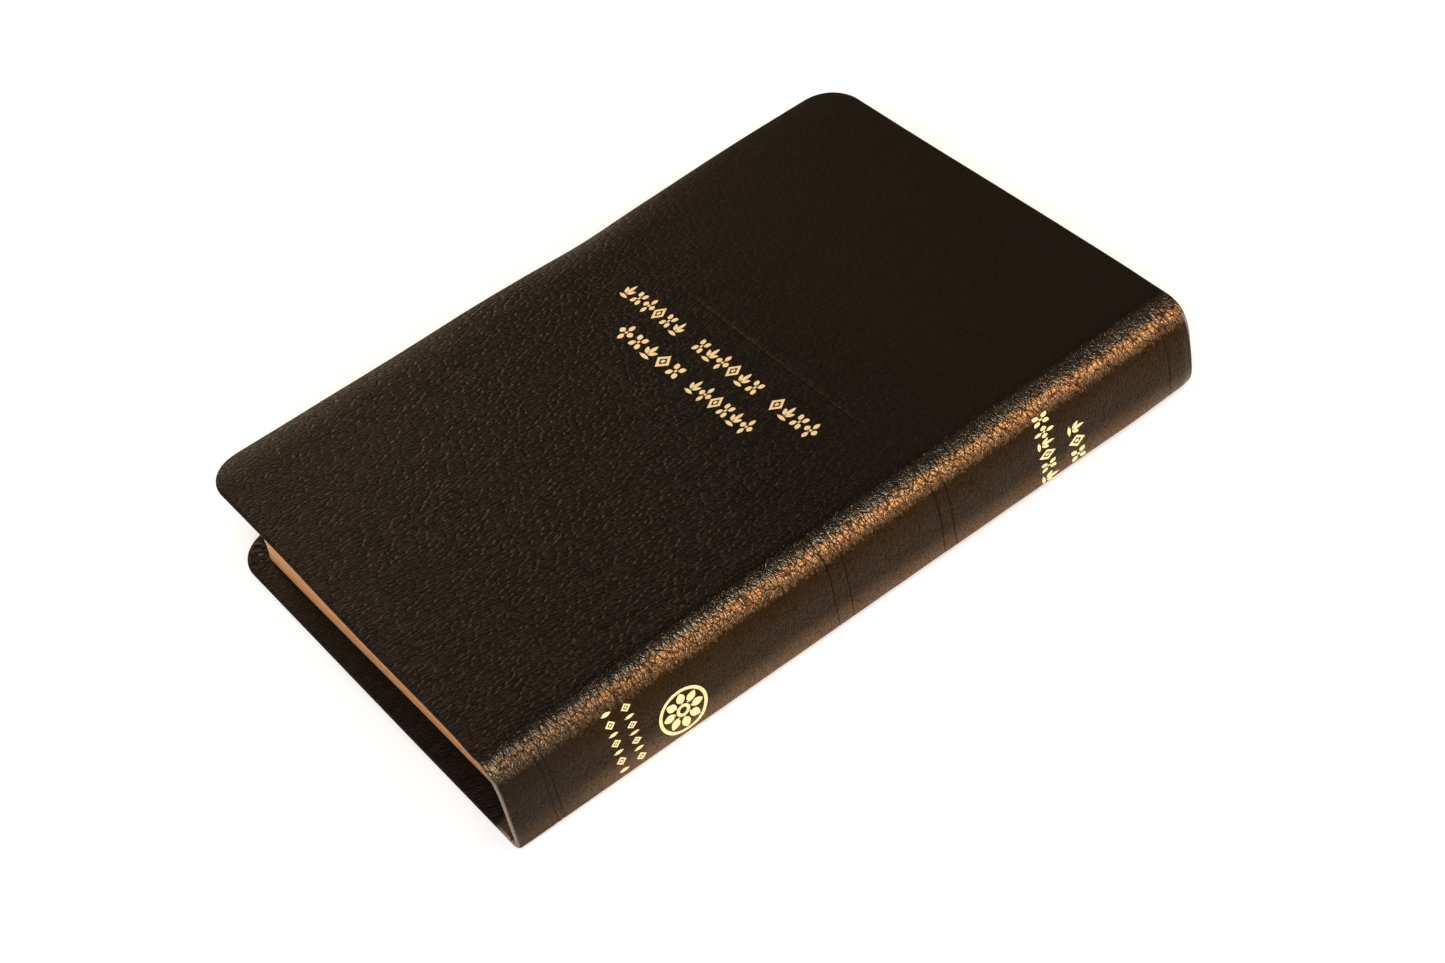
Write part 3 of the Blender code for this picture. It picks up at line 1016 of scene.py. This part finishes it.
def page_look(name, print_strength):
    """Cream paper with two columns of generic grey lines in the place of print."""
    n = Nodes(name)
    x, y, _ = n.axes()
    centre = BLOCK_SPINE_X - PAGE_WIDTH / 2
    across = n.size(n.minus(x, centre))
    column = n.times(
        n.range(across, 0.0025, 0.0028, kind="LINEAR"),
        n.range(across, 0.0500, 0.0497, kind="LINEAR"),
    )
    rows = n.range(n.size(y), 0.0850, 0.0847, kind="LINEAR")
    pitch = 0.0034
    phase = n.math("FRACT", n.math("DIVIDE", n.plus(y, 1.0), pitch))
    from_line = n.size(n.minus(phase, 0.5))
    line = n.range(from_line, 0.22, 0.16, kind="LINEAR")
    row_number = n.math("FLOOR", n.math("DIVIDE", n.plus(y, 1.0), pitch))
    spot = {0: n.times(x, 230.0), 1: n.times(row_number, 7.31)}
    spot = n.make("ShaderNodeCombineXYZ", spot).outputs[0]
    words = n.range(n.noise(spot, 1.0, 0.0), 0.34, 0.37, kind="LINEAR")
    grain = n.grain((5200.0, 5200.0, 5200.0), 2.0, 0.6)
    ink = n.times(n.times(column, rows), n.times(line, words))
    ink = n.times(ink, n.range(grain, 0.30, 0.62, 0.25, 0.75))
    ink = n.times(ink, print_strength)
    paper = n.mix(n.noise(n.place, 60.0, 4.0), (0.74, 0.69, 0.58), (0.82, 0.78, 0.67))
    fibres = n.noise(n.place, 2400.0, 3.0, 0.6)
    return n.set(
        Base_Color=n.mix(ink, paper, (0.10, 0.09, 0.085)),
        Roughness=n.range(fibres, 0.2, 0.8, 0.72, 0.86),
        Normal=n.bump(fibres, 0.00002),
    )


def gilt_look():
    """The gilt edges of the pages: fine lines where the leaves meet, rubbed to a soft shine."""
    n = Nodes("gilt_edge")
    fine = n.grain((12.0, 12.0, 5200.0), 3.0, 0.65)
    bands = n.grain((16.0, 16.0, 1300.0), 2.0, 0.5)
    rub = n.grain((120.0, 120.0, 700.0), 3.0, 0.6)
    leaf_line = n.range(n.size(n.minus(fine, 0.5)), 0.0, 0.05)
    tone = n.mix(bands, (0.60, 0.25, 0.085), (0.92, 0.47, 0.19))
    tone = n.mix(n.times(n.range(rub, 0.55, 0.8), 0.5), tone, (0.92, 0.60, 0.34))
    tone = n.mix(n.times(n.minus(1.0, leaf_line), 0.45), tone,
                 (0.34, 0.15, 0.06))
    height = n.scaled(leaf_line, 0.5, n.times(bands, 0.8))
    return n.set(
        Base_Color=tone,
        Metallic=0.35,
        Roughness=n.range(bands, 0.2, 0.8, 0.38, 0.55),
        Normal=n.bump(height, 0.00008),
    )


def foil_look():
    n = Nodes("gold_foil")
    grain = n.noise(n.place, 2600.0, 3.0, 0.6)
    wear = n.noise(n.place, 900.0, 3.0, 0.6)
    return n.set(
        Base_Color=n.mix(n.range(wear, 0.40, 0.80), (1.0, 0.76, 0.37), (0.95, 0.60, 0.24)),
        Metallic=0.35,
        Roughness=n.range(grain, 0.2, 0.8, 0.34, 0.50),
        Normal=n.bump(grain, 0.00006, 0.7),
    )


def mull_look():
    """Open-weave cotton glued over the spine of the block."""
    n = Nodes("mull_cloth")
    wave = 2 * math.pi / 0.0009
    _, y, z = n.axes()
    warp = n.size(n.math("SINE", n.times(y, wave / 2)))
    weft = n.size(n.math("SINE", n.times(z, wave / 2)))
    thread = n.math("MAXIMUM", warp, weft)
    return n.set(
        Base_Color=n.mix(n.range(thread, 0.6, 0.95), (0.36, 0.30, 0.20), (0.74, 0.71, 0.62)),
        Roughness=0.95,
        Normal=n.bump(thread, 0.00015),
    )


def band_look():
    """Silk thread wound in two colours."""
    n = Nodes("endband_silk")
    _, _, z = n.axes()
    ribs = n.math("SINE", n.times(z, math.pi * ENDBAND_RIBS / 0.018))
    strand = n.grain((400.0, 400.0, 5200.0), 2.0)
    return n.set(
        Base_Color=n.mix(n.range(ribs, -0.2, 0.2), (0.36, 0.035, 0.028), (0.80, 0.70, 0.48)),
        Roughness=n.range(strand, 0.2, 0.8, 0.38, 0.55),
        Sheen_Weight=0.3,
        Normal=n.bump(strand, 0.00006),
    )


# ---- the pieces


def finish_piece(obj, node=None, body=None):
    if node:
        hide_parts(node)
    if body:
        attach(obj, body)
    return obj


def make_covers(leather, lining, card):
    front = Cover("front", FRONT_SEAM)
    back = Cover("back", BACK_SEAM)
    for cover in (front, back):
        side, body = cover.side, f"cover_{cover.side}"
        finish_piece(cover_leather(cover, leather), f"{side}_cover_leather", body)
        for name, slot, inset, depths, look in (
            ("board", "card", BOARD_INSET, BOARD, card),
            ("endpaper", "lining", ENDPAPER_INSET, ENDPAPER, lining),
        ):
            layers = [cover.layer(inset, depth) for depth in depths]
            sheet = slab(f"{side}_{name}", *layers, [look])
            finish_piece(sheet, f"{side}_cover_{slot}", body)

    strips = (
        ("front", "block_upper", THICKNESS, FRONT_AXIS_X, FRONT_SEAM),
        ("back", "block_lower", 0.0, BACK_SEAM_SPINE, BACK_SEAM),
    )
    for side, block, level, start, end in strips:
        strip = joint_strip(side, level, [leather, lining])
        finish_piece(strip)
        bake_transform(strip)
    return front


def make_spine(leather, card, kraft, mull, silk):
    skin = swept_skin("spine_skin", spine_line(), lambda _, y: end_thickness(LEATHER, y), [leather],
                      spine_shift)
    finish_piece(skin, "spine_leather")
    flex(skin)
    low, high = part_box("spine_card")[0].z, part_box("spine_card")[1].z
    y_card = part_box("spine_card")[1].y
    sheets = (
        ("spine_stiffener", STIFFENER, y_card, card, 0.6, "card", "spine_card"),
        ("spine_cloth", CLOTH, BLOCK_Y, mull, 0.0, "mull", "spine_mull"),
    )
    for name, depths, y_end, look, lean, slot, node in sheets:
        sheet = spine_sheet(name, depths, low, high, y_end, look, lean)
        flex(finish_piece(sheet, node))
    flex(finish_piece(hollow_tube(kraft), "hollow_tube"))
    for name, sign, node in (("head_roll", 1, "head_band"), ("tail_roll", -1, "tail_band")):
        flex(finish_piece(endband(name, sign, silk), node))


def make_block(page, blank, gilt, thread):
    leaves_low = MIDDLE - LEAVES * LEAF / 2
    leaves_high = MIDDLE + LEAVES * LEAF / 2
    halves = (
        ("lower", BLOCK_LOW - GAP, leaves_low, 1),
        ("upper", leaves_high, BLOCK_HIGH + GAP, SECTIONS + 1),
    )
    for half, low, high, first in halves:
        pitch = (high - low) / SECTIONS
        for i in range(SECTIONS):
            z = low + pitch * i
            name = f"pages_{first + i:02d}"
            pages = page_slab(name, z, z + pitch, page, gilt)
            flex(finish_piece(pages, f"section_{first + i:02d}"))
        stitches = sewing(f"stitches_{half}", low + 0.0003, high - 0.0003, thread)
        flex(finish_piece(stitches, f"sewing_thread_{half}"))

    fold = spine_sheet("gutter_fold", (BLOCK_DEPTH - 0.00005, BLOCK_DEPTH + 0.00015),
                       leaves_low - 0.0001, leaves_high + 0.0001, BLOCK_Y - 0.0002, page)
    flex(finish_piece(fold))

    for i in range(LEAVES):
        z = leaves_low + LEAF * i
        x_end = leaf_root(LEAF_TURNS[i], leaves_low)
        leaf = page_slab(f"leaf_{i + 1}_paper", z, z + LEAF, page, gilt, x_end)
        finish_piece(leaf, f"centre_leaf_{i + 1}")
        turning(leaf)

    z = BLOCK_LOW - GAP
    back = page_slab("back_flyleaf_paper", z - LEAF, z, blank, gilt)
    flex(finish_piece(back, "back_flyleaf"))
    z = BLOCK_HIGH + GAP
    x_end = FLYLEAF_AXIS[0]
    front = page_slab("front_flyleaf_paper", z, z + LEAF, blank, gilt, x_end)
    finish_piece(front, "front_flyleaf")
    turning(front)


def turning(leaf):
    """Bakes a leaf's placement into its mesh."""
    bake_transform(leaf)


def droop_share(weight):
    """How far along a smooth blend its weight reaches the given value."""
    share = 0.0
    while share * share * (3 - 2 * share) < weight:
        share += 0.001
    return share


def leaf_root(ratio, level):
    """Where a turning leaf leaves the curved page next to it."""
    top = (level - FLEX_LOW) / (FLEX_HIGH - FLEX_LOW)
    turn = min(ratio, 1.0 - ratio)
    if turn >= 0.5:
        return BLOCK_SPINE_X
    return BLOCK_SPINE_X - (top - droop_share(turn)) * FLEX_REACH


def make_foil(front, foil):
    """Generic ornaments in the places of the stamped titles and the device."""
    title = ornament_row("pfclfp", -0.0440, -0.0180, 0.0131, 0.0053)
    title += ornament_row("fpclpf", -0.0125, 0.0145, 0.0131, 0.0053)
    title += ornament_row("lpfc", 0.0190, 0.0370, 0.0131, 0.0053)
    title += ornament_row("cfplf", -0.0320, -0.0050, 0.0029, 0.0053)
    title += ornament_row("pclfpc", -0.0015, 0.0240, 0.0029, 0.0053)

    def on_cover(u, v, lift):
        x, y, z = front.point(u, v, 0.0)
        return (x, y, z + lift)

    piece = foil_piece("title_foil", title, on_cover, foil)
    finish_piece(piece, None, "cover_front")

    face = SpineFace()
    marks = []
    rows = (
        ("plf", 0.0170, 0.0035, 0.0661, 0.0052), ("fcplfp", 0.0248, 0.0030, 0.0567, 0.0054),
        ("lslslsl", 0.0232, 0.0040, -0.0696, 0.0028),
        ("slslsls", 0.0246, 0.0032, -0.0747, 0.0028),
    )
    for kinds, z_from, z_to, y, height in rows:
        marks += ornament_row(kinds, face.at_height(z_from), face.at_height(z_to), y, height)
    centre = (face.at_height(0.0172) + face.at_height(0.0035)) / 2
    marks += circle_ring(centre, -0.0562, 0.0069, 0.0009)
    marks += circle_ring(centre, -0.0562, 0.0019, 0.0009)
    for k in range(8):
        marks += petal(centre, -0.0562, math.pi * k / 4, 0.0021, 0.0036, 0.0024)
    piece = foil_piece("spine_foil", marks, lambda u, v, lift: face.point(u, v, lift), foil)
    flex(finish_piece(piece))


# ---- camera, floor and light


def make_camera():
    """The main view: from the tail and spine side, tilted a little."""
    azimuth, elevation, roll = (math.radians(a) for a in (62.12, 43.97, -13.47))
    back = Vector((
        math.sin(azimuth) * math.cos(elevation),
        -math.cos(azimuth) * math.cos(elevation),
        math.sin(elevation),
    ))
    data = bpy.data.cameras.new("camera")
    data.sensor_width = 36.0
    data.lens = 68.33
    data.clip_start = 0.01
    data.clip_end = 100.0
    camera = bpy.data.objects.new("camera", data)
    camera.location = (0.4539, -0.2356, 0.4877)
    camera.rotation_euler = (
        back.to_track_quat("Z", "Y") @ Quaternion((0, 0, 1), roll)
    ).to_euler()
    bpy.context.scene.collection.objects.link(camera)
    bpy.context.scene.camera = camera


def add_light(name, kind, place, aim, energy, colour, **settings):
    data = bpy.data.lights.new(name, kind)
    data.energy = energy
    data.color = colour
    for key, value in settings.items():
        setattr(data, key, value)
    light = bpy.data.objects.new(name, data)
    light.location = place
    light.rotation_euler = (Vector(aim) - Vector(place)).to_track_quat("-Z", "Y").to_euler()
    bpy.context.scene.collection.objects.link(light)


def make_studio():
    pale = Nodes("pale_floor").set(
        Base_Color=(0.88, 0.88, 0.87, 1.0), Roughness=0.95, Specular_IOR_Level=0.05,
        Emission_Color=(1.0, 1.0, 0.99, 1.0), Emission_Strength=0.16,
    )
    half = 30.0
    mesh = bpy.data.meshes.new("floor")
    mesh.from_pydata([(-half, -half, 0), (half, -half, 0), (half, half, 0), (-half, half, 0)],
                     [], [(0, 1, 2, 3)])
    mesh.materials.append(pale)
    floor = bpy.data.objects.new("floor", mesh)
    floor.location.z = -0.0003
    bpy.context.scene.collection.objects.link(floor)

    world = bpy.data.worlds.new("studio")
    world.use_nodes = True
    tree = world.node_tree
    surround, seen = tree.nodes["Background"], tree.nodes.new("ShaderNodeBackground")
    for node, colour, strength in ((surround, (0.95, 0.95, 1.0, 1.0), 0.07),
                                   (seen, (1.0, 1.0, 1.0, 1.0), 1.0)):
        node.inputs["Color"].default_value = colour
        node.inputs["Strength"].default_value = strength
    path = tree.nodes.new("ShaderNodeLightPath")
    choose = tree.nodes.new("ShaderNodeMixShader")
    tree.links.new(path.outputs["Is Camera Ray"], choose.inputs["Fac"])
    tree.links.new(surround.outputs[0], choose.inputs[1])
    tree.links.new(seen.outputs[0], choose.inputs[2])
    tree.links.new(choose.outputs[0], tree.nodes["World Output"].inputs["Surface"])
    bpy.context.scene.world = world

    add_light("key", "SUN", (0.60, -0.44, 0.67), (0, 0, 0), 3.7, (1.0, 0.99, 0.99),
              angle=math.radians(50))
    softboxes = (  # place, aim, watts, colour, width, height
        ("spine_softbox", (0.84, 0.56, 0.80), (0.06, 0.0, 0.02), 7.0, (1.0, 0.75, 0.52), 0.60, 0.86),
        ("top_light", (0.10, 0.12, 1.25), (0.05, 0.0, 0.02), 1.5, (0.76, 0.88, 1.0), 0.28, 0.28),
        ("fore_light", (-1.27, 0.12, 0.56), (-0.06, -0.03, 0.02), 5.4, (1.0, 0.72, 0.46), 0.55, 0.30),
    )
    for name, place, aim, watts, colour, width, height in softboxes:
        add_light(name, "AREA", place, aim, watts, colour,
                  shape="RECTANGLE", size=width, size_y=height)
    scene = bpy.context.scene
    scene.view_settings.view_transform = "Standard"
    scene.view_settings.look = "None"


def main():
    make_camera()
    leather, lining = leather_look(), lining_look()
    card = fibrous_look("grey_card", ((900.0, 300.0, 900.0), 0.7), 4.0,
                        ((0.22, 0.17, 0.12), (0.38, 0.31, 0.23)), 0.9, 0.00005)
    kraft = fibrous_look("kraft_paper", ((700.0, 200.0, 700.0), 0.7), 4.0,
                         ((0.28, 0.17, 0.09), (0.44, 0.29, 0.16)), 0.88, 0.00004)
    linen = fibrous_look("linen_thread", ((2500.0, 2500.0, 4200.0), 0.5), 2.0,
                         ((0.66, 0.60, 0.46), (0.86, 0.82, 0.70)), 0.8, 0.00006)
    front = make_covers(leather, lining, card)
    make_spine(leather, card, kraft, mull_look(), band_look())
    pages = page_look("printed_page", 1.0), page_look("blank_page", 0.0)
    make_block(*pages, gilt_look(), linen)
    make_foil(front, foil_look())
    make_studio()


main()
